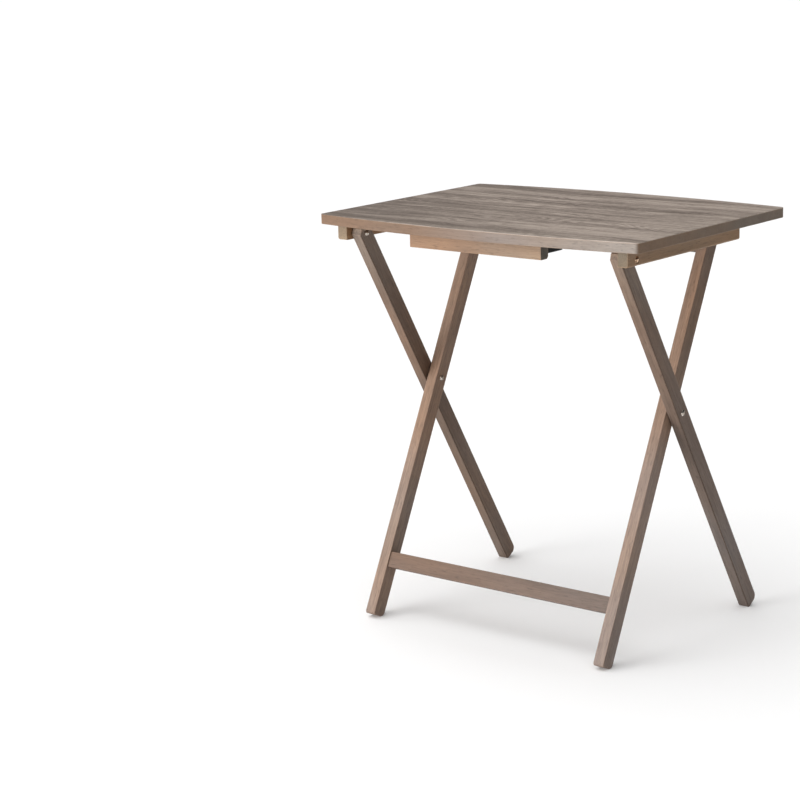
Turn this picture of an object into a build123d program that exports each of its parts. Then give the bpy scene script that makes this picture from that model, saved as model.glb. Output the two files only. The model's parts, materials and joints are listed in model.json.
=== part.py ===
from build123d import *
from math import asin, atan2, cos, degrees, hypot, pi, sin
import os

os.makedirs("parts", exist_ok=True)

# Frame: origin on the floor under the middle of the tray, X to the right along the tray's long
# side, Y from the user towards the far edge, Z up. Millimetres throughout.

# --- driving dimensions ------------------------------------------------------------------
tray_width = 595.0          # X, over the two straight ends
tray_side_depth = 424.0     # Y, length of each straight end
tray_bow = 22.0             # how far each long edge swells beyond the ends
tray_corner = 6.5           # plan radius of the four corners
tray_top = 660.0            # height of the eating surface
board = 16.0                # tray thickness, laminate included
laminate = 0.8              # printed sheet on the top face
laminate_round = 0.55       # its upper edge

stick = 18.5                # legs and stretcher, narrow side
stick_wide = 27.0           # legs and stretcher, wide side
eased = 1.0                 # rounding of every long leg edge

inner_leg_x = 213.0         # inner face of each inner leg
pivot_gap = 2.5             # spacer between the inner and the outer leg
cleat_gap = 1.6             # washer between the outer leg and the cleat
cleat = 18.0                # cleat, X
cleat_drop = 24.5           # cleat and hanging bar, Z
cleat_front = -199.0
cleat_back = 118.5
cleat_round = 3.5           # rounding of the cleat's outer lower edge

pivot_drop = 15.0           # tray pivot below the tray's underside
pivot_y = -174.0
outer_foot_y = 210.5        # where the outer legs' centre line meets the floor
inner_foot_y = -194.0       # where the inner legs' centre line meets the floor
inner_top_y = 113.9         # inner legs' centre line at the height of the tray pivot

panel_round = 1.0           # lower edge of the tray
small_round = 1.0           # other eased edges
head_reach = 12.5           # leg beyond its upper centre
head_chamfer = 7.0
foot_back_round = 9.0       # plan of each foot seen from the side: its corner away from the user
foot_front_round = 4.0      # and its corner towards the user
foot_wear = 0.3             # depth lost to the small flat that stands on the floor

stretcher_height = 86.8     # centre of the stretcher above the floor
stretcher_wide = 25.5
stretcher_setback = 2.5     # behind the inner legs' front faces
dowel_spread = 7.0          # each of the two dowels from the middle of the joint
crossbar_r = 8.0
crossbar_tenon = 8.0        # length held in each inner leg

hanging_bar_length = 246.0
hanging_bar_front = -204.0
hanging_bar_back = -185.0
hanging_bar_round = 5.0

clip = 12.0                 # X thickness of the plastic clips
clip_inset = 6.0            # clip's outer face in from the hanging bar's end
clip_drop = 18.0
clip_back = -117.0
clip_round = 4.0
clip_slack = 0.2            # radial room round the crossbar in a storage slot
clip_mouth = 0.93           # slot's mouth as a share of its width, for the snap
catch_x = 150.0             # inner face of each leg catch
catch_wall = 7.0
catch_foot = 5.0            # thickness of the flange screwed to the tray
catch_foot_length = 24.0
catch_lip = 4.2             # width of the catch's lower lip

bolt_r = 3.0
bolt_head_r = 5.0
bolt_dome = 2.6
bolt_seat = 1.2             # how far the outer heads are let into the cleats
seat_clearance = 0.7
cap_r = 4.6                 # domed nut on the inner side
dome_rim = 0.5              # straight rim under each domed head
cap_dome = 3.4
cap_depth = 1.8             # thread inside the domed nut
slide = 0.15                # between flat faces that turn on each other
tray_washer_r = 12.0
cross_washer_r = 8.0
socket_r = 2.2              # hexagonal key socket, corner to centre
socket_depth = 1.3
running = 0.05              # radial clearance of a turning or glued fit
gap = 0.3                   # between bodies that rest on or slide past each other

screw_r = 2.0
screw_head_r = 4.0
screw_head = 2.4
screw_slot = 0.9            # width and depth of the cross recess
screw_cross = 5.6           # length of each arm pair of the cross recess
cleat_screw_front = 55.0    # first cleat screw from the cleat's front end
cleat_screw_middle = 20.0   # second one behind the cleat's middle
cleat_screw_back = 22.0     # last one from its back end
bar_screw_x = 80.0
clip_screw_y = -162.0
catch_screw_inset = 8.0     # from the back end of the catch's flange
screw_bite = 10.0           # length driven into the tray
dowel_r = 4.0
dowel_half = 12.0           # length in the leg, and in the stretcher

# --- derived places ----------------------------------------------------------------------
underside = tray_top - board
pivot_z = underside - pivot_drop
half_wide = stick_wide / 2
inner_leg_outer = inner_leg_x + stick
outer_leg_x = inner_leg_outer + pivot_gap
outer_leg_outer = outer_leg_x + stick
cleat_x = outer_leg_outer + cleat_gap
cleat_outer = cleat_x + cleat

# Both centre lines run in the YZ plane, from the height of the tray pivot down to the floor.
outer_angle = atan2(outer_foot_y - pivot_y, pivot_z)
inner_angle = atan2(inner_top_y - inner_foot_y, pivot_z)
lean_sum = (outer_foot_y - pivot_y) + (inner_top_y - inner_foot_y)
cross_share = (inner_top_y - pivot_y) / lean_sum
cross_y = pivot_y + cross_share * (outer_foot_y - pivot_y)
cross_z = pivot_z * (1 - cross_share)
cross_to_pivot = hypot(cross_y - pivot_y, pivot_z - cross_z)
cross_to_head = hypot(inner_top_y - cross_y, pivot_z - cross_z)

# Folded flat, the crossbar lies in the storage clips this far from the tray pivot.
storage_reach = 43.0
crossbar_radius = cross_to_pivot - storage_reach
crossbar_y = cross_y + crossbar_radius * sin(inner_angle)
crossbar_z = cross_z + crossbar_radius * cos(inner_angle)
storage_y = pivot_y + storage_reach

cleat_bottom = underside - cleat_drop
clip_outer = hanging_bar_length / 2 - clip_inset
clip_bottom = underside - clip_drop
sides = {"left": -1, "right": 1}

seat_r = crossbar_r + gap
catch_foot_back = crossbar_y + seat_r + catch_foot_length

cleat_screw_y = [
    cleat_front + cleat_screw_front,
    (cleat_front + cleat_back) / 2 + cleat_screw_middle,
    cleat_back - cleat_screw_back,
]
cleat_screw_points = [(s * (cleat_x + cleat / 2), y) for s in (-1, 1) for y in cleat_screw_y]
bar_screw_points = [(s * bar_screw_x, (hanging_bar_front + hanging_bar_back) / 2) for s in (-1, 1)]
clip_screw_points = [(s * (clip_outer - clip / 2), clip_screw_y) for s in (-1, 1)]
catch_screw_points = [(s * (catch_x + clip / 2), catch_foot_back - catch_screw_inset) for s in (-1, 1)]
all_screws = cleat_screw_points + bar_screw_points + clip_screw_points + catch_screw_points

UPRIGHT = (Align.CENTER, Align.CENTER, Align.MIN)


def outward(side, inner, width):
    """Start and length of a solid that begins at |x| = inner and grows outwards."""
    return (inner, width) if side > 0 else (-inner - width, width)


def finish(part, name):
    """Names the finished piece and writes its file."""
    part.label = name
    export_step(part, f"parts/{name}.step")


def raised_box(start, width, front, back, bottom, top):
    """A block added to the open part, given by its limits along X, Y and Z."""
    with Locations((start, front, bottom)):
        Box(width, back - front, top - bottom, align=(Align.MIN, Align.MIN, Align.MIN))


def cross_hole(start, length, radius, y, z):
    """A round hole along X cut from the open part."""
    with Locations(Plane((start, y, z), x_dir=(0, 1, 0), z_dir=(1, 0, 0))):
        Cylinder(radius, length, align=UPRIGHT, mode=Mode.SUBTRACT)


def countersunk_holes(points, bottom):
    """Screw holes up through the open part, countersunk in its lower face."""
    with Locations(*[(x, y, bottom) for x, y in points]):
        Cylinder(screw_r + running, underside - bottom, align=UPRIGHT, mode=Mode.SUBTRACT)
        Cone(screw_head_r + running, screw_r + running, screw_head, align=UPRIGHT, mode=Mode.SUBTRACT)


def side_points(points, side):
    return [(x, y) for x, y in points if x * side > 0]


# --- tray --------------------------------------------------------------------------------
def barrel_outline(height):
    """The tray's plan: straight ends, long edges bowed outwards, corners rounded."""
    x = tray_width / 2
    y = tray_side_depth / 2
    with BuildSketch(Plane.XY.offset(height)) as outline:
        with BuildLine():
            Line((x, -y), (x, y))
            ThreePointArc((x, y), (0, y + tray_bow), (-x, y))
            Line((-x, y), (-x, -y))
            ThreePointArc((-x, -y), (0, -y - tray_bow), (x, -y))
        make_face()
        fillet(outline.vertices(), tray_corner)
    return outline.sketch


with BuildPart() as tray_panel:
    extrude(barrel_outline(underside), amount=board - laminate)
    fillet(tray_panel.faces().sort_by(Axis.Z)[0].edges(), panel_round)
    with Locations(*[(x, y, underside) for x, y in all_screws]):
        Cylinder(screw_r + running, screw_bite + gap, align=UPRIGHT, mode=Mode.SUBTRACT)
finish(tray_panel.part, "tray_panel")

with BuildPart() as top_laminate:
    extrude(barrel_outline(tray_top - laminate), amount=laminate)
    fillet(top_laminate.faces().sort_by(Axis.Z)[-1].edges(), laminate_round)
finish(top_laminate.part, "top_laminate")


# --- cleats, hanging bar, clips and catches under the tray ---------------------------------
for name, side in sides.items():
    start, width = outward(side, cleat_x, cleat)
    with BuildPart() as tray_cleat:
        raised_box(start, width, cleat_front, cleat_back, cleat_bottom, underside)
        lower = tray_cleat.edges().filter_by(Axis.Y).group_by(Axis.Z)[0].sort_by(Axis.X)
        fillet(lower[-1] if side > 0 else lower[0], cleat_round)
        fillet(tray_cleat.faces().filter_by(Axis.Y).edges().filter_by(Axis.Z), small_round)
        cross_hole(start, width, bolt_r + running, pivot_y, pivot_z)
        seat_start, seat_width = outward(side, cleat_outer - bolt_seat, bolt_seat)
        cross_hole(seat_start, seat_width, bolt_head_r + seat_clearance, pivot_y, pivot_z)
        countersunk_holes(side_points(cleat_screw_points, side), cleat_bottom)
    finish(tray_cleat.part, f"{name}_cleat")

with BuildPart() as hanging_bar:
    raised_box(-hanging_bar_length / 2, hanging_bar_length, hanging_bar_front, hanging_bar_back,
               cleat_bottom, underside)
    lower = hanging_bar.edges().filter_by(Axis.X).group_by(Axis.Z)[0].sort_by(Axis.Y)
    fillet(lower[-1], hanging_bar_round)
    fillet(lower[0], small_round)
    countersunk_holes(bar_screw_points, cleat_bottom)
finish(hanging_bar.part, "hanging_bar")

for name, side in sides.items():
    start, width = outward(side, clip_outer - clip, clip)
    slot_r = crossbar_r + clip_slack
    with BuildPart() as storage_clip:
        raised_box(start, width, hanging_bar_back, clip_back, clip_bottom, underside)
        back_edge = storage_clip.edges().filter_by(Axis.X).group_by(Axis.Z)[0].sort_by(Axis.Y)[-1]
        fillet(back_edge, clip_round)
        cross_hole(start, width, slot_r, storage_y, pivot_z)
        mouth = 2 * clip_mouth * slot_r
        with Locations((start, storage_y - mouth / 2, clip_bottom)):
            Box(width, mouth, pivot_z - clip_bottom, align=(Align.MIN, Align.MIN, Align.MIN),
                mode=Mode.SUBTRACT)
        countersunk_holes(side_points(clip_screw_points, side), clip_bottom)
    finish(storage_clip.part, f"{name}_storage_clip")

for name, side in sides.items():
    start, width = outward(side, catch_x, clip)
    seat_back = crossbar_y + seat_r
    with BuildPart() as leg_catch:
        with BuildSketch(Plane.YZ.offset(start)) as catch_outline:
            with BuildLine():
                Polyline(
                    (crossbar_y - seat_r, underside),
                    (crossbar_y - seat_r, crossbar_z + seat_r + catch_wall),
                    (crossbar_y, crossbar_z + seat_r),
                )
                ThreePointArc(
                    (crossbar_y, crossbar_z + seat_r),
                    (crossbar_y + seat_r * sin(pi / 4), crossbar_z + seat_r * cos(pi / 4)),
                    (seat_back, crossbar_z),
                )
                Polyline(
                    (seat_back, crossbar_z),
                    (seat_back, crossbar_z - crossbar_r),
                    (seat_back + catch_lip, crossbar_z - crossbar_r),
                    (seat_back + catch_wall, crossbar_z),
                    (seat_back + catch_wall, underside - catch_foot),
                    (catch_foot_back, underside - catch_foot),
                    (catch_foot_back, underside),
                    (crossbar_y - seat_r, underside),
                )
            make_face()
        extrude(amount=width)
        countersunk_holes(side_points(catch_screw_points, side), underside - catch_foot)
    finish(leg_catch.part, f"{name}_leg_catch")


# --- screws up into the tray --------------------------------------------------------------
def screw_set(points, bottom, name):
    """Identical countersunk screws, heads flush with the face at the given height."""
    length = underside + screw_bite - bottom
    with BuildPart() as screws:
        with Locations(*[(x, y, bottom) for x, y in points]):
            Cylinder(screw_r, length, align=UPRIGHT)
            Cone(screw_head_r, screw_r, screw_head, align=UPRIGHT)
            with Locations((0, 0, 0)):
                Box(screw_cross, screw_slot, screw_slot, align=UPRIGHT, mode=Mode.SUBTRACT)
                Box(screw_slot, screw_cross, screw_slot, align=UPRIGHT, mode=Mode.SUBTRACT)
    finish(screws.part, name)


screw_set(cleat_screw_points, cleat_bottom, "cleat_screws")
screw_set(bar_screw_points, cleat_bottom, "hanging_bar_screws")
screw_set(clip_screw_points, clip_bottom, "storage_clip_screws")
screw_set(catch_screw_points, underside - catch_foot, "leg_catch_screws")


# --- legs --------------------------------------------------------------------------------
def leg_frame(centre, angle, lean):
    """Turns (distance down the centre line, offset across it) into a point in the YZ plane.

    lean is +1 where the foot is further back than the head, and -1 where it is nearer the user.
    Positive offsets are on the leg's upper face.
    """
    down = (lean * sin(angle), -cos(angle))
    across = (lean * cos(angle), sin(angle))

    def place(along, offset):
        y = centre[0] + along * down[0] + offset * across[0]
        z = centre[1] + along * down[1] + offset * across[1]
        return y, z

    return place


def make_leg(name, side, inner_x, place, head, foot, upper_round, lower_round, holes):
    """One leg: its profile in the YZ plane, given its thickness along X, eased and drilled."""
    start, width = outward(side, inner_x, stick)
    shoulder = head + head_chamfer
    upper_corner = place(foot, half_wide)
    lower_corner = place(foot, -half_wide)
    with BuildPart() as leg:
        with BuildSketch(Plane.YZ.offset(start)) as leg_outline:
            with BuildLine():
                Polyline(
                    place(head, head_chamfer - half_wide),
                    place(head, half_wide - head_chamfer),
                    place(shoulder, half_wide),
                    upper_corner,
                    lower_corner,
                    place(shoulder, -half_wide),
                    close=True,
                )
            make_face()
        extrude(amount=width)
        for corner, radius in ((upper_corner, upper_round), (lower_corner, lower_round)):
            cross_edges = leg.edges().filter_by(Axis.X)
            fillet(cross_edges.sort_by_distance(Vector(start, *corner))[0], radius)
        fillet(leg.faces().filter_by(Axis.X).edges(), eased)
        with Locations((start, lower_corner[0], 0)):
            Box(width, 2 * stick_wide, stick, align=(Align.MIN, Align.CENTER, Align.MAX),
                mode=Mode.SUBTRACT)
        for hole_start, hole_length, radius, y, z in holes:
            cross_hole(hole_start, hole_length, radius, y, z)
    finish(leg.part, name)


def foot_distance(centre_z, angle, lower_round):
    """Down the centre line to the square end whose rounded lower corner is worn flat by the floor."""
    arc_height = centre_z + foot_wear - lower_round + (lower_round - half_wide) * sin(angle)
    return arc_height / cos(angle) + lower_round


outer_place = leg_frame((pivot_y, pivot_z), outer_angle, 1)
inner_place = leg_frame((cross_y, cross_z), inner_angle, -1)
inner_head = -cross_to_head - head_reach
stretcher_along = (cross_z - stretcher_height) / cos(inner_angle)
stretcher_centre = half_wide - stretcher_setback - stick / 2
dowel_points = [inner_place(stretcher_along + d, stretcher_centre) for d in (-dowel_spread, dowel_spread)]

for name, side in sides.items():
    bore = bolt_r + running
    outer_start, outer_width = outward(side, outer_leg_x, stick)
    outer_holes = [
        (outer_start, outer_width, bore, pivot_y, pivot_z),
        (outer_start, outer_width, bore, cross_y, cross_z),
    ]
    make_leg(f"{name}_outer_leg", side, outer_leg_x, outer_place, -head_reach,
             foot_distance(pivot_z, outer_angle, foot_front_round), foot_back_round,
             foot_front_round, outer_holes)

    inner_start, inner_width = outward(side, inner_leg_x, stick)
    bar_start, bar_length = outward(side, inner_leg_x, crossbar_tenon + gap)
    dowel_start, dowel_length = outward(side, inner_leg_x, dowel_half + gap)
    inner_holes = [
        (inner_start, inner_width, bore, cross_y, cross_z),
        (bar_start, bar_length, crossbar_r + running, crossbar_y, crossbar_z),
    ]
    inner_holes += [(dowel_start, dowel_length, dowel_r + running, y, z) for y, z in dowel_points]
    make_leg(f"{name}_inner_leg", side, inner_leg_x, inner_place, inner_head,
             foot_distance(cross_z, inner_angle, foot_back_round), foot_front_round,
             foot_back_round, inner_holes)

with BuildPart() as crossbar:
    half_bar = inner_leg_x + crossbar_tenon
    with Locations(Plane((-half_bar, crossbar_y, crossbar_z), x_dir=(0, 1, 0), z_dir=(1, 0, 0))):
        Cylinder(crossbar_r, 2 * half_bar, align=UPRIGHT)
finish(crossbar.part, "crossbar")

with BuildPart() as stretcher:
    rail_y, rail_z = inner_place(stretcher_along, stretcher_centre)
    rail_plane = Plane((-inner_leg_x, rail_y, rail_z), z_dir=(1, 0, 0),
                       x_dir=(0, -cos(inner_angle), sin(inner_angle)))
    with BuildSketch(rail_plane):
        RectangleRounded(stick, stretcher_wide, eased)
    extrude(amount=2 * inner_leg_x)
    for side in sides.values():
        start, length = outward(side, inner_leg_x - dowel_half - gap, dowel_half + gap)
        for y, z in dowel_points:
            cross_hole(start, length, dowel_r + running, y, z)
finish(stretcher.part, "stretcher")

with BuildPart() as stretcher_dowels:
    for side in sides.values():
        start, length = outward(side, inner_leg_x - dowel_half, 2 * dowel_half)
        for y, z in dowel_points:
            with Locations(Plane((start, y, z), x_dir=(0, 1, 0), z_dir=(1, 0, 0))):
                Cylinder(dowel_r, length, align=UPRIGHT)
finish(stretcher_dowels.part, "stretcher_dowels")


# --- pivots ------------------------------------------------------------------------------
def dome(face, y, z, outward_sign, radius, height):
    """A round head that stands on the given face, added to the open part."""
    rise = height - dome_rim
    ball = (radius ** 2 + rise ** 2) / (2 * rise)
    base_latitude = degrees(asin((ball - rise) / ball))
    facing = {"x_dir": (0, 1, 0), "z_dir": (outward_sign, 0, 0)}
    with Locations(Plane((face, y, z), **facing)):
        Cylinder(radius, dome_rim, align=UPRIGHT)
    with Locations(Plane((face + outward_sign * dome_rim, y, z), **facing)):
        Sphere(ball, arc_size1=base_latitude, align=UPRIGHT)


def key_socket(top, y, z, outward_sign):
    """A hexagonal socket cut into the top of a round head."""
    with BuildSketch(Plane((top, y, z), x_dir=(0, 1, 0), z_dir=(outward_sign, 0, 0))) as hexagon:
        RegularPolygon(socket_r, 6)
    extrude(hexagon.sketch, amount=-socket_depth, mode=Mode.SUBTRACT)


def pivot_set(name, side, head_face, cap_face, y, z, spacer, washer_r, has_socket):
    """Round-headed bolt from outside, domed nut on the inner side, spacer between the sticks."""
    inner_end = cap_face - cap_depth
    with BuildPart() as bolt:
        dome(side * head_face, y, z, side, bolt_head_r, bolt_dome)
        start, length = outward(side, inner_end, head_face - inner_end)
        with Locations(Plane((start, y, z), x_dir=(0, 1, 0), z_dir=(1, 0, 0))):
            Cylinder(bolt_r, length, align=UPRIGHT)
        if has_socket:
            key_socket(side * (head_face + bolt_dome), y, z, side)
    finish(bolt.part, f"{name}_bolt")

    with BuildPart() as cap_nut:
        dome(side * cap_face, y, z, -side, cap_r, cap_dome)
        start, length = outward(side, inner_end, cap_depth)
        cross_hole(start, length, bolt_r + running, y, z)
        if has_socket:
            key_socket(side * (cap_face - cap_dome), y, z, -side)
    finish(cap_nut.part, f"{name}_cap_nut")

    with BuildPart() as washer:
        start, length = outward(side, spacer[0], spacer[1] - spacer[0])
        with Locations(Plane((start, y, z), x_dir=(0, 1, 0), z_dir=(1, 0, 0))):
            Cylinder(washer_r, length, align=UPRIGHT)
            Cylinder(bolt_r + running, length, align=UPRIGHT, mode=Mode.SUBTRACT)
    finish(washer.part, f"{name}_washer")


for name, side in sides.items():
    pivot_set(f"{name}_tray_pivot", side, cleat_outer - bolt_seat + slide, outer_leg_x - slide,
              pivot_y, pivot_z, (outer_leg_outer + slide, cleat_x - slide), tray_washer_r, False)
    pivot_set(f"{name}_cross_pivot", side, outer_leg_outer, inner_leg_x - slide,
              cross_y, cross_z, (inner_leg_outer + slide, outer_leg_x), cross_washer_r, True)
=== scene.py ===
import json
import math

import bpy
from mathutils import Matrix, Vector


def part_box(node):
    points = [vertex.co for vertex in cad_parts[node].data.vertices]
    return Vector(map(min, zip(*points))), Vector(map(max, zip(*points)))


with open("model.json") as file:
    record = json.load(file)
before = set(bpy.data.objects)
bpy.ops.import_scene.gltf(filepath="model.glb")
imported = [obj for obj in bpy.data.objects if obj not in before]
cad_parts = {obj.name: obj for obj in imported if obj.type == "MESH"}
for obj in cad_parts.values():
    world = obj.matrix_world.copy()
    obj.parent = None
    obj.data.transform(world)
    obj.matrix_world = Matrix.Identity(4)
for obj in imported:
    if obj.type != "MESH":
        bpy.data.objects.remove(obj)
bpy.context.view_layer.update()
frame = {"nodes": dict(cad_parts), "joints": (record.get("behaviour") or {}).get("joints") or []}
nodes = frame["nodes"]
joints = {joint["name"]: joint for joint in frame["joints"]}
scene = bpy.context.scene

# --- camera, in metres and radians --------------------------------------------------------
IMAGE_WIDTH = 800
SENSOR = 36.0
CAMERA_PLACE = (2.01356, -2.89852, 1.15897)
CAMERA_HEADING = 0.6764     # turned left of +Y
CAMERA_PITCH = -0.2207
CAMERA_ROLL = -0.02228
FOCAL_PIXELS = 2249.0


def add_camera():
    data = bpy.data.cameras.new("camera")
    data.sensor_width = SENSOR
    data.lens = FOCAL_PIXELS / IMAGE_WIDTH * SENSOR
    camera = bpy.data.objects.new("camera", data)
    turn = (
        Matrix.Rotation(CAMERA_HEADING, 4, "Z")
        @ Matrix.Rotation(math.pi / 2 + CAMERA_PITCH, 4, "X")
        @ Matrix.Rotation(CAMERA_ROLL, 4, "Z")
    )
    camera.matrix_world = Matrix.Translation(CAMERA_PLACE) @ turn
    scene.collection.objects.link(camera)
    scene.camera = camera


# --- light and floor ----------------------------------------------------------------------
SKY_DARKEST = 0.0           # radiance of the studio's far side, behind and right of the table
SKY_BRIGHTEST = 1.95        # radiance of its large soft window
SKY_EDGE = 0.12             # cosine to the window's middle at which the sky starts to brighten
WINDOW_FROM = Vector((-0.32, -0.30, 0.90))
SUN_STRENGTH = 1.3
SUN_SOFTNESS = math.radians(40)
SUN_FROM = Vector((-0.40, -0.90, 0.12))
PANEL_POWER = 30.0          # watts
PANEL_PLACE = Vector((-1.05, -2.35, 0.42))
PANEL_SIZE = (1.6, 0.75)
PANEL_AIM = Vector((0.0, 0.0, 0.42))
FLOOR_HALF = 40.0
FLOOR_COLOUR = (0.91, 0.91, 0.91, 1.0)
FLOOR_ROUGHNESS = 0.9


def add_light():
    """A soft key and a low light panel from the front left, and a sky bright on that side."""
    world = bpy.data.worlds.new("studio")
    world.use_nodes = True
    tree = world.node_tree
    direction = tree.nodes.new("ShaderNodeTexCoord").outputs["Generated"]
    facing = tree.nodes.new("ShaderNodeVectorMath")
    facing.operation = "DOT_PRODUCT"
    facing.inputs[1].default_value = WINDOW_FROM.normalized()
    tree.links.new(direction, facing.inputs[0])
    falloff = tree.nodes.new("ShaderNodeMapRange")
    falloff.inputs["From Min"].default_value = SKY_EDGE
    falloff.inputs["From Max"].default_value = 1.0
    falloff.inputs["To Min"].default_value = SKY_DARKEST
    falloff.inputs["To Max"].default_value = SKY_BRIGHTEST
    tree.links.new(facing.outputs["Value"], falloff.inputs["Value"])
    tree.links.new(falloff.outputs[0], tree.nodes["Background"].inputs["Strength"])
    tree.nodes["Background"].inputs["Color"].default_value = (1.0, 1.0, 1.0, 1.0)
    scene.world = world
    sun = bpy.data.lights.new("key", "SUN")
    sun.energy = SUN_STRENGTH
    sun.angle = SUN_SOFTNESS
    lamp = bpy.data.objects.new("key", sun)
    lamp.rotation_euler = SUN_FROM.to_track_quat("Z", "Y").to_euler()
    scene.collection.objects.link(lamp)
    panel = bpy.data.lights.new("panel", "AREA")
    panel.shape = "RECTANGLE"
    panel.size, panel.size_y = PANEL_SIZE
    panel.energy = PANEL_POWER
    low_lamp = bpy.data.objects.new("panel", panel)
    low_lamp.location = PANEL_PLACE
    low_lamp.rotation_euler = (PANEL_PLACE - PANEL_AIM).to_track_quat("Z", "Y").to_euler()
    low_lamp.visible_camera = False
    scene.collection.objects.link(low_lamp)


def add_floor():
    mesh = bpy.data.meshes.new("floor")
    h = FLOOR_HALF
    mesh.from_pydata([(-h, -h, 0), (h, -h, 0), (h, h, 0), (-h, h, 0)], [], [(0, 1, 2, 3)])
    floor = bpy.data.objects.new("floor", mesh)
    material = bpy.data.materials.new("floor_paper")
    material.use_nodes = True
    shader = material.node_tree.nodes["Principled BSDF"]
    shader.inputs["Base Color"].default_value = FLOOR_COLOUR
    shader.inputs["Roughness"].default_value = FLOOR_ROUGHNESS
    mesh.materials.append(material)
    scene.collection.objects.link(floor)


# --- colours, linear; a TINT multiplies the stain in one place, some to paint light or shade ---
LEG_LIGHT = (0.290, 0.203, 0.151)
LEG_DARK = (0.151, 0.102, 0.074)
OUTER_LEG_LIGHT = (0.238, 0.168, 0.125)
OUTER_LEG_DARK = (0.126, 0.086, 0.063)
STRETCHER_LIGHT = (0.165, 0.112, 0.084)
STRETCHER_DARK = (0.099, 0.067, 0.050)
RAIL_LIGHT = (0.295, 0.190, 0.120)
RAIL_DARK = (0.194, 0.118, 0.072)
CLEAT_LIGHT = (0.325, 0.203, 0.113)
CLEAT_DARK = (0.200, 0.117, 0.061)
EDGE_LIGHT = (0.191, 0.122, 0.079)
EDGE_DARK = (0.136, 0.083, 0.052)
TOP_LIGHT = (0.380, 0.313, 0.264)
TOP_DARK = (0.112, 0.083, 0.064)
WARM_TINT = (1.10, 0.98, 0.87)
COOL_TINT = (0.93, 1.0, 1.09)
LOW_LEG_TINT = (0.94, 1.08, 1.27)
# paler end grain and painted light on the outer legs' chamfered heads, which lie in the tray's
# shade
HEAD_PAINTED_LIGHT_TINT = (1.45, 1.45, 1.40)
# painted shade for the upper outer face of the right inner leg, painted light for its upper
# front
HIGH_SIDE_PAINTED_SHADE = (0.66, 0.65, 0.63)
HIGH_FRONT_PAINTED_LIGHT = (1.22, 1.20, 1.18)
OUTER_MIDDLE_TINT = (0.84, 0.77, 0.71)
OUTER_HIGH_TINT = (1.05, 1.04, 1.00)
LOW_FRONT_TINT = (0.74, 0.74, 0.73)
ARRIS_TINT = (0.42, 0.36, 0.32)
CLEAT_END_TINT = (0.62, 0.73, 0.83)
LEFT_CLEAT_TINT = (1.32, 1.42, 1.55)
BAR_LEFT_TINT = (1.0, 0.98, 0.95)
BAR_RIGHT_TINT = (1.04, 1.22, 1.38)
BAR_END_TINT = (0.34, 0.45, 0.58)
# painted sheen: a pale grey reflection on the tray's front edge towards its right corner
PAINTED_SHEEN_TINT = (1.37, 2.05, 3.05)
# painted highlight along the top rim of the tray panel's edge
RIM_PAINTED_HIGHLIGHT = (1.18, 1.20, 1.22)
RIGHT_END_TINT = (0.94, 1.07, 1.17)
# painted highlight along the laminate's top rim, and painted shade that dims the rim at the left
PRINT_RIM_HIGHLIGHT = (0.50, 0.43, 0.37)
LEFT_RIM_PAINTED_SHADE = (0.66, 0.62, 0.58)
BLACK_PLASTIC = (0.006, 0.006, 0.006)
NYLON = (0.11, 0.095, 0.08)
BRONZE_BRIGHT = (0.80, 0.56, 0.38)
BRONZE_DULL = (0.20, 0.115, 0.07)
NICKEL_BRIGHT = (0.78, 0.72, 0.64)
NICKEL_DULL = (0.24, 0.20, 0.17)
ZINC_BRIGHT = (0.66, 0.65, 0.62)
ZINC_DULL = (0.34, 0.33, 0.31)

# --- places, in metres: each pair is where a change of colour begins and where it is full ---
RIGHTWARDS = (-0.10, 0.10)
LEFTWARDS = (0.10, -0.10)
LOW_ON_LEG = (0.50, 0.10)
HIGH_ON_INNER_LEG = (0.36, 0.46)
HIGH_ON_OUTER_LEG = (0.50, 0.60)
BELOW_OUTER_HEAD = (0.60, 0.52)
ABOVE_OUTER_FOOT = (0.18, 0.30)
LOW_ON_OUTER_FRONT = (0.46, 0.26)
HEAD_HEIGHT = (0.630, 0.636)
HEAD_DEPTH = (-0.13, -0.15)
ARRIS = (0.0021, 0.0009)            # from a face
FRONT_FACE = (0.0012, 0.0004)       # from the front plane
SIDE_FACE = (0.0009, 0.0004)        # from the side plane
OFF_SIDE_FACE = (0.0004, 0.0012)
BAR_ORANGE = (-0.02, -0.12)
BAR_GREY = (0.00, 0.10)
BOWED_FRONT = (-0.195, -0.212)
EDGE_SHEEN_RAMP = (-0.10, 0.24)
RIM_HIGHLIGHT_RAMP = (0.05, 0.27)
PRINT_FADE = (-0.30, 0.20)
PRINT_RIM_HIGHLIGHT_RAMP = (-0.05, 0.25)
PRINT_LEFT_RIM_SHADE = (0.15, -0.10)
LEG_HALF_DEPTH = 0.0135             # from a leg's middle to its front face
ALONG_X = (0, math.pi / 2, 0)
ALONG_Y = (math.pi / 2, 0, 0)
UNTURNED = (1, 1, 1)


def below(top, start, full):
    """A pair of places that lie these distances below, or before, the given one."""
    return top - start, top - full


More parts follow.
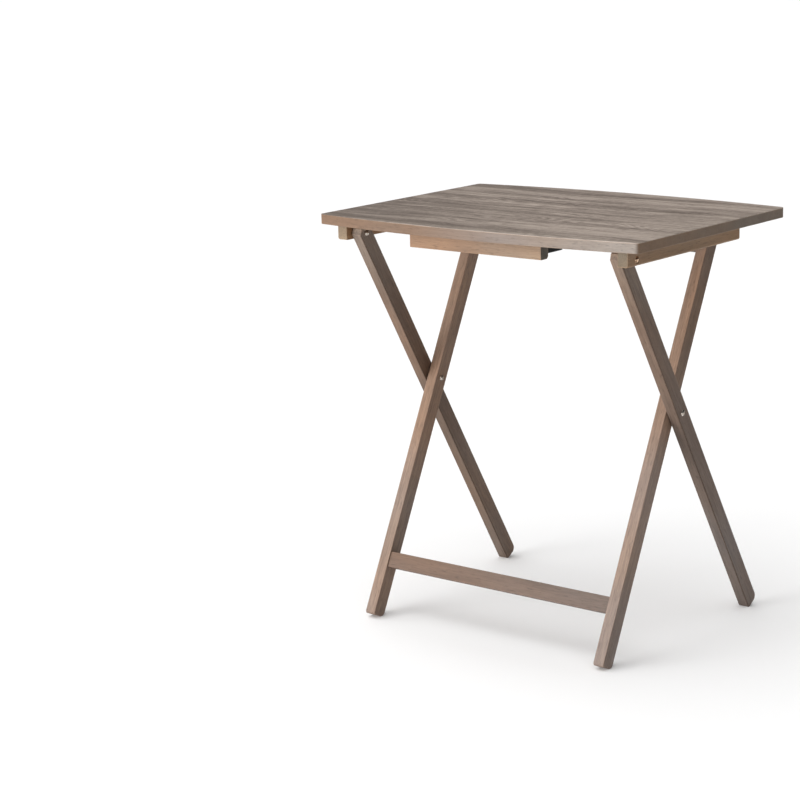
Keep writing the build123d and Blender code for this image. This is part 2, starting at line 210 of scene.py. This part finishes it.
# --- small helpers for shader nodes -------------------------------------------------------
class Graph:
    """A material's node tree, with one short call for each kind of node that is used here."""

    def __init__(self, name):
        self.material = bpy.data.materials.new(name)
        self.material.use_nodes = True
        self.tree = self.material.node_tree
        self.shader = self.tree.nodes["Principled BSDF"]

    def put(self, kind, inputs, **settings):
        made = self.tree.nodes.new(kind)
        for key, value in settings.items():
            setattr(made, key, value)
        for key, value in inputs.items():
            self.feed(made.inputs[key], value)
        return made

    def feed(self, socket, value):
        if isinstance(value, bpy.types.NodeSocket):
            self.tree.links.new(value, socket)
        else:
            socket.default_value = value

    def place(self, scale, turn=(0, 0, 0)):
        """Object coordinates in metres, turned, then stretched."""
        coords = self.put("ShaderNodeTexCoord", {}).outputs["Object"]
        turned = self.put("ShaderNodeMapping", {"Vector": coords, "Rotation": turn}).outputs[0]
        return self.put("ShaderNodeMapping", {"Vector": turned, "Scale": scale}).outputs[0]

    def noise(self, vector, detail=4.0, rough=0.55, distortion=0.0):
        inputs = {"Vector": vector, "Scale": 1.0, "Detail": detail, "Roughness": rough,
                  "Distortion": distortion}
        return self.put("ShaderNodeTexNoise", inputs).outputs["Fac"]

    def math(self, operation, a, b=0.0):
        return self.put("ShaderNodeMath", {0: a, 1: b}, operation=operation).outputs[0]

    def both(self, a, b):
        """The share where two masks overlap."""
        return self.math("MULTIPLY", a, b)

    def range(self, value, low, high, to_low=0.0, to_high=1.0):
        inputs = {"Value": value, "From Min": low, "From Max": high, "To Min": to_low,
                  "To Max": to_high}
        return self.put("ShaderNodeMapRange", inputs).outputs[0]

    def mix(self, share, a, b, blend="MIX"):
        made = self.put("ShaderNodeMix", {}, data_type="RGBA", blend_type=blend)
        self.feed(made.inputs[0], share)
        self.feed(made.inputs[6], a)
        self.feed(made.inputs[7], b)
        return made.outputs[2]

    def split(self, vector):
        return self.put("ShaderNodeSeparateXYZ", {"Vector": vector}).outputs

    def join(self, x, y, z):
        return self.put("ShaderNodeCombineXYZ", {"X": x, "Y": y, "Z": z}).outputs[0]

    def edge_mask(self, radius):
        """Near 1 on edges and corners, 0 on flat faces."""
        rounded = self.put("ShaderNodeBevel", {"Radius": radius}, samples=4).outputs[0]
        true = self.put("ShaderNodeNewGeometry", {}).outputs["Normal"]
        facing = self.put("ShaderNodeVectorMath", {0: rounded, 1: true}, operation="DOT_PRODUCT")
        return self.range(facing.outputs["Value"], 0.998, 0.88)

    def bump(self, height, strength, distance):
        inputs = {"Height": height, "Strength": strength, "Distance": distance}
        made = self.put("ShaderNodeBump", inputs)
        self.feed(self.shader.inputs["Normal"], made.outputs[0])

    def finish(self, colour=None, roughness=None):
        if colour is not None:
            self.feed(self.shader.inputs["Base Color"], colour)
        if roughness is not None:
            self.feed(self.shader.inputs["Roughness"], roughness)
        return self.material


def rgb(red, green, blue):
    return (red, green, blue, 1.0)


def scaled(colour, factor):
    return rgb(*[channel * factor for channel in colour])


# --- stained solid wood -------------------------------------------------------------------
def stained_wood(name, light, dark, turn, tone_and_painted_light=None):
    """Fine-pored wood under a grey-brown stain.

    turn brings the grain onto the Z axis, and the scales are noise cells per metre, across the
    grain twice and then along it. The last argument is a function that changes the colour by
    place, and on some parts it paints light and shade.
    """
    g = Graph(name)
    patch = g.noise(g.place((7, 7, 3), turn), detail=2)
    blotch = g.noise(g.place((40, 40, 6), turn), detail=3, distortion=0.4)
    figure = g.noise(g.place((170, 170, 5.5), turn), detail=3, distortion=0.5)
    fibre = g.noise(g.place((520, 520, 24), turn), detail=4, rough=0.68)
    pores = g.noise(g.place((560, 560, 75), turn), detail=2)
    tone = g.math("ADD", g.range(blotch, 0.3, 0.7, -0.05, 0.40),
                  g.range(figure, 0.3, 0.7, 0.06, 0.28))
    tone = g.math("ADD", tone, g.range(fibre, 0.28, 0.72, -0.30, 0.55))
    colour = g.mix(tone, rgb(*dark), rgb(*light))
    cast = g.mix(g.range(patch, 0.36, 0.64), rgb(*COOL_TINT), rgb(*WARM_TINT))
    colour = g.mix(1.0, colour, cast, blend="MULTIPLY")
    flecks = g.range(pores, 0.57, 0.71)
    colour = g.mix(g.math("MULTIPLY", flecks, 0.45), colour, scaled(dark, 0.45))
    # tone by place, and on the legs and the tray's edge painted light and shade
    if tone_and_painted_light:
        colour = tone_and_painted_light(g, colour, *g.split(g.place(UNTURNED)))
    # paler edges: rubbed stain, and a painted highlight where the eased edges catch the light
    rubbed = g.math("MULTIPLY", g.edge_mask(0.0022), g.range(blotch, 0.35, 0.65, 0.35, 0.85))
    colour = g.mix(rubbed, colour, scaled(light, 1.3))
    height = g.math("SUBTRACT", g.math("MULTIPLY", fibre, 0.5), flecks)
    g.bump(height, 0.35, 0.00025)
    g.shader.inputs["Specular IOR Level"].default_value = 0.28
    return g.finish(colour, g.range(fibre, 0.3, 0.7, 0.50, 0.66))


# applies stain tints, and also the tints that paint light and shade
def tint_by_share(g, colour, share, tint):
    """The colour multiplied by a tint, where share is 1."""
    return g.mix(share, colour, g.mix(1.0, colour, rgb(*tint), blend="MULTIPLY"))


def leg_tone_and_painted_light(g, colour, x, y, z):
    """Greyer towards the right feet; paler end grain and painted light on the outer legs'
    chamfered heads, which face up into the tray's shade.
    """
    low_right = g.both(g.range(z, *LOW_ON_LEG), g.range(x, *RIGHTWARDS))
    colour = tint_by_share(g, colour, low_right, LOW_LEG_TINT)
    # paler end grain and painted light on the outer legs' chamfered heads, which face up into
    # the tray's shade
    painted_light_head = g.both(g.range(z, *HEAD_HEIGHT), g.range(y, *HEAD_DEPTH))
    return tint_by_share(g, colour, painted_light_head, HEAD_PAINTED_LIGHT_TINT)


def inner_leg_tone_and_painted_light(g, colour, x, y, z):
    """Like the shared leg colouring above, with painted shade on the outer face and painted
    light on the front at the top of the right leg, where the tray shades it.
    """
    high = g.range(z, *HIGH_ON_INNER_LEG)
    # painted shade on the upper outer face, painted light on the upper front of the right leg
    from_side = g.math("SUBTRACT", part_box("right_inner_leg")[1].x, x)
    painted_shade_face = g.both(g.range(from_side, *SIDE_FACE), high)
    colour = tint_by_share(g, colour, painted_shade_face, HIGH_SIDE_PAINTED_SHADE)
    rest_of_leg = g.both(g.range(from_side, *OFF_SIDE_FACE), high)
    right = g.both(rest_of_leg, g.range(x, *RIGHTWARDS))
    colour = tint_by_share(g, colour, right, HIGH_FRONT_PAINTED_LIGHT)
    return leg_tone_and_painted_light(g, colour, x, y, z)


def outer_leg_tone_and_painted_light(g, colour, x, y, z):
    """Like the shared leg colouring above, with its painted light on the heads; browner round
    the cross pivots, with darker low fronts and a dark arris.

    A leg's middle line runs through its two pivots, so the joints give its front plane.
    """
    _, cross_y, cross_z = joints["leg_fold"]["pos_m"]
    _, top_y, top_z = joints["tray_lift"]["pos_m"]
    lean = math.atan2(cross_y - top_y, top_z - cross_z)
    back = g.math("MULTIPLY", g.math("SUBTRACT", y, cross_y), math.cos(lean))
    up = g.math("MULTIPLY", g.math("SUBTRACT", z, cross_z), math.sin(lean))
    from_front = g.math("ADD", g.math("ADD", back, up), LEG_HALF_DEPTH)
    left_side = g.math("SUBTRACT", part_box("left_outer_leg")[1].x, x)
    right_side = g.math("SUBTRACT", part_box("right_outer_leg")[1].x, x)
    from_side = g.math("MINIMUM", g.math("ABSOLUTE", left_side), g.math("ABSOLUTE", right_side))
    middle = g.both(g.range(z, *BELOW_OUTER_HEAD), g.range(z, *ABOVE_OUTER_FOOT))
    colour = tint_by_share(g, colour, middle, OUTER_MIDDLE_TINT)
    colour = tint_by_share(g, colour, g.range(z, *HIGH_ON_OUTER_LEG), OUTER_HIGH_TINT)
    low_front = g.both(g.range(from_front, *FRONT_FACE), g.range(z, *LOW_ON_OUTER_FRONT))
    colour = tint_by_share(g, colour, low_front, LOW_FRONT_TINT)
    arris = g.both(g.range(from_front, *ARRIS), g.range(from_side, *ARRIS))
    colour = tint_by_share(g, colour, arris, ARRIS_TINT)
    return leg_tone_and_painted_light(g, colour, x, y, z)


def cleat_wear(g, colour, x, y, z):
    """Greyer end grain on the end that faces the user, palest on the left cleat."""
    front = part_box("left_cleat")[0].y
    end = g.range(y, front + 0.002, front + 0.0005)
    colour = tint_by_share(g, colour, end, CLEAT_END_TINT)
    return tint_by_share(g, colour, g.both(end, g.range(x, *LEFTWARDS)), LEFT_CLEAT_TINT)


def bar_wear(g, colour, x, y, z):
    """Orange at the left, greyer to the right, dark end grain on the right end."""
    colour = tint_by_share(g, colour, g.range(x, *BAR_ORANGE), BAR_LEFT_TINT)
    colour = tint_by_share(g, colour, g.range(x, *BAR_GREY), BAR_RIGHT_TINT)
    end = below(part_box("hanging_bar")[1].x, 0.0008, 0.0002)
    return tint_by_share(g, colour, g.range(x, *end), BAR_END_TINT)


def panel_tone_and_painted_light(g, colour, x, y, z):
    """Painted sheen greys the front edge towards the right corner, but not the darker right end;
    a painted highlight runs along the top rim.
    """
    _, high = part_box("tray_panel")
    end = g.range(x, *below(high.x, 0.0030, 0.0005))
    # painted sheen on the front edge, strongest towards the right corner
    painted_sheen = g.both(g.range(y, *BOWED_FRONT), g.range(x, *EDGE_SHEEN_RAMP))
    painted_sheen = g.both(painted_sheen, g.math("SUBTRACT", 1.0, end))
    colour = tint_by_share(g, colour, painted_sheen, PAINTED_SHEEN_TINT)
    colour = tint_by_share(g, colour, end, RIGHT_END_TINT)
    # painted highlight along the top rim of the edge
    highlit_rim = g.both(g.range(z, *below(high.z, 0.0013, 0.0006)), g.range(x, *RIM_HIGHLIGHT_RAMP))
    return tint_by_share(g, colour, highlit_rim, RIM_PAINTED_HIGHLIGHT)


# --- printed oak laminate -----------------------------------------------------------------
def oak_print():
    """Sawn oak printed on the top: grain along X, dark and light bands, faint saw marks.

    Each layer is a noise with its own cells per metre along and across the grain. Its weight in
    the tone is what its range ends in.
    """
    g = Graph("oak_print")
    x, y, z = g.split(g.place(UNTURNED))
    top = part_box("top_laminate")[1].z
    wander = g.math("MULTIPLY", g.noise(g.place((3.0, 8, 1)), detail=2), 0.045)
    lane = g.math("ADD", y, wander)

    def layer(along, across, shift, detail, rough):
        spot = g.join(g.math("MULTIPLY", x, along), g.math("MULTIPLY", lane, across), shift)
        return g.noise(spot, detail=detail, rough=rough)

    bands = layer(1.5, 25.0, 3.0, 2, 0.5)
    lines = layer(8.0, 95.0, 5.0, 4, 0.62)
    threads = layer(12.0, 250.0, 7.0, 5, 0.68)
    streaks = layer(22.0, 620.0, 1.0, 4, 0.7)
    ticks = layer(110.0, 170.0, 13.0, 3, 0.6)
    dashes = layer(85.0, 480.0, 9.0, 4, 0.65)
    contour = layer(3.6, 15.0, 11.0, 1.5, 0.4)
    rings = g.math("SINE", g.math("MULTIPLY", contour, 165.0))
    ring_area = g.range(g.noise(g.place((4.0, 13, 5)), detail=1), 0.47, 0.62)
    saw = g.noise(g.place((560, 34, 1)), detail=3, rough=0.6)
    tone = g.range(bands, 0.34, 0.66, 0.15, 0.78)
    for part in (
        g.range(x, *PRINT_FADE, -0.22, 0.10),
        g.range(lines, 0.30, 0.70, -0.34, 0.34),
        g.range(ticks, 0.30, 0.70, -0.17, 0.17),
        g.range(threads, 0.28, 0.72, -0.29, 0.29),
        g.range(streaks, 0.28, 0.72, -0.30, 0.30),
        g.math("MULTIPLY", g.both(rings, ring_area), 0.22),
        g.range(saw, 0.3, 0.7, -0.12, 0.12),
    ):
        tone = g.math("ADD", tone, part)
    colour = g.mix(tone, rgb(*TOP_DARK), rgb(*TOP_LIGHT))
    dark_dash = g.range(dashes, 0.58, 0.70)
    colour = g.mix(g.math("MULTIPLY", dark_dash, 0.38), colour, scaled(TOP_DARK, 0.5))
    pale_dash = g.range(dashes, 0.40, 0.30)
    colour = g.mix(g.math("MULTIPLY", pale_dash, 0.32), colour, scaled(TOP_LIGHT, 1.35))
    # painted highlight along the top rim towards the right, painted shade dimming the rim at the
    # left
    highlit_rim = g.range(z, *below(top, 0.00010, 0.00045))
    colour = g.mix(g.both(highlit_rim, g.range(x, *PRINT_RIM_HIGHLIGHT_RAMP, 0.10, 0.55)), colour, rgb(*PRINT_RIM_HIGHLIGHT))
    shaded_left_rim = g.both(g.range(z, *below(top, 0.00005, 0.00035)), g.range(x, *PRINT_LEFT_RIM_SHADE))
    colour = tint_by_share(g, colour, shaded_left_rim, LEFT_RIM_PAINTED_SHADE)
    height = g.math("ADD", g.math("MULTIPLY", streaks, 0.7), g.math("MULTIPLY", saw, 0.3))
    g.bump(g.math("SUBTRACT", height, dark_dash), 0.30, 0.00018)
    g.shader.inputs["Specular IOR Level"].default_value = 0.35
    return g.finish(colour, g.range(streaks, 0.3, 0.7, 0.48, 0.62))


# --- plastics and metals ------------------------------------------------------------------
def moulded_plastic(name, tint):
    """Dull plastic with a fine grain, paler where its edges are rubbed."""
    g = Graph(name)
    grain = g.noise(g.place((2600, 2600, 2600)), detail=2)
    flow = g.noise(g.place((60, 60, 60)), detail=3)
    rubbed = g.math("MULTIPLY", g.edge_mask(0.0008), 0.35)
    colour = g.mix(rubbed, rgb(*tint), scaled(tint, 2.4))
    g.bump(grain, 0.25, 0.00012)
    g.shader.inputs["Specular IOR Level"].default_value = 0.12
    return g.finish(colour, g.range(flow, 0.3, 0.7, 0.42, 0.60))


def worn_metal(name, bright, dull):
    """Metal with a darker patina that is rubbed away on the crown and the edges."""
    g = Graph(name)
    patina = g.noise(g.place((420, 420, 420)), detail=4)
    scratch = g.noise(g.place((300, 4200, 4200)), detail=2)
    rubbed = g.math("ADD", g.range(patina, 0.40, 0.62), g.edge_mask(0.0006))
    colour = g.mix(g.math("MINIMUM", rubbed, 1.0), rgb(*dull), rgb(*bright))
    g.shader.inputs["Metallic"].default_value = 1.0
    g.bump(scratch, 0.18, 0.00008)
    return g.finish(colour, g.range(patina, 0.3, 0.7, 0.34, 0.20))


# --- which finish each CAD piece gets -----------------------------------------------------
def leg_turn(node):
    """The turn about X that brings a leg's own length onto the Z axis, from its box."""
    low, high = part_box(node)
    return math.atan2(high.y - low.y, high.z - low.z)


def dress(names, material):
    for name in names:
        slots = nodes[name].data.materials
        slots.clear()
        slots.append(material)


def named(*endings):
    """The CAD nodes whose names end in one of these."""
    return [name for name in nodes if name.endswith(endings)]


def dress_all():
    outer = (-leg_turn("left_outer_leg"), 0, 0)
    inner = (leg_turn("left_inner_leg"), 0, 0)
    woods = (
        ("outer_leg_wood", named("_outer_leg"), OUTER_LEG_LIGHT, OUTER_LEG_DARK, outer,
         outer_leg_tone_and_painted_light),
        ("inner_leg_wood", named("_inner_leg"), LEG_LIGHT, LEG_DARK, inner, inner_leg_tone_and_painted_light),
        ("stretcher_wood", ["stretcher", "crossbar", "stretcher_dowels"], STRETCHER_LIGHT,
         STRETCHER_DARK, ALONG_X, None),
        ("bar_wood", ["hanging_bar"], RAIL_LIGHT, RAIL_DARK, ALONG_X, bar_wear),
        ("cleat_wood", named("_cleat"), CLEAT_LIGHT, CLEAT_DARK, ALONG_Y, cleat_wear),
        ("panel_edge", ["tray_panel"], EDGE_LIGHT, EDGE_DARK, ALONG_X, panel_tone_and_painted_light),
    )
    for name, pieces, light, dark, turn, tone_and_painted_light in woods:
        dress(pieces, stained_wood(name, light, dark, turn, tone_and_painted_light))
    dress(["top_laminate"], oak_print())
    dress(named("_clip", "_catch"), moulded_plastic("black_plastic", BLACK_PLASTIC))
    dress(named("cross_pivot_washer"), moulded_plastic("nylon", NYLON))
    dress(named("tray_pivot_bolt", "tray_pivot_washer"),
          worn_metal("bronze", BRONZE_BRIGHT, BRONZE_DULL))
    dress(named("cross_pivot_bolt", "pivot_cap_nut"),
          worn_metal("nickel", NICKEL_BRIGHT, NICKEL_DULL))
    dress(named("_screws"), worn_metal("zinc", ZINC_BRIGHT, ZINC_DULL))


add_camera()
add_light()
add_floor()
dress_all()
scene.view_settings.view_transform = "Standard"
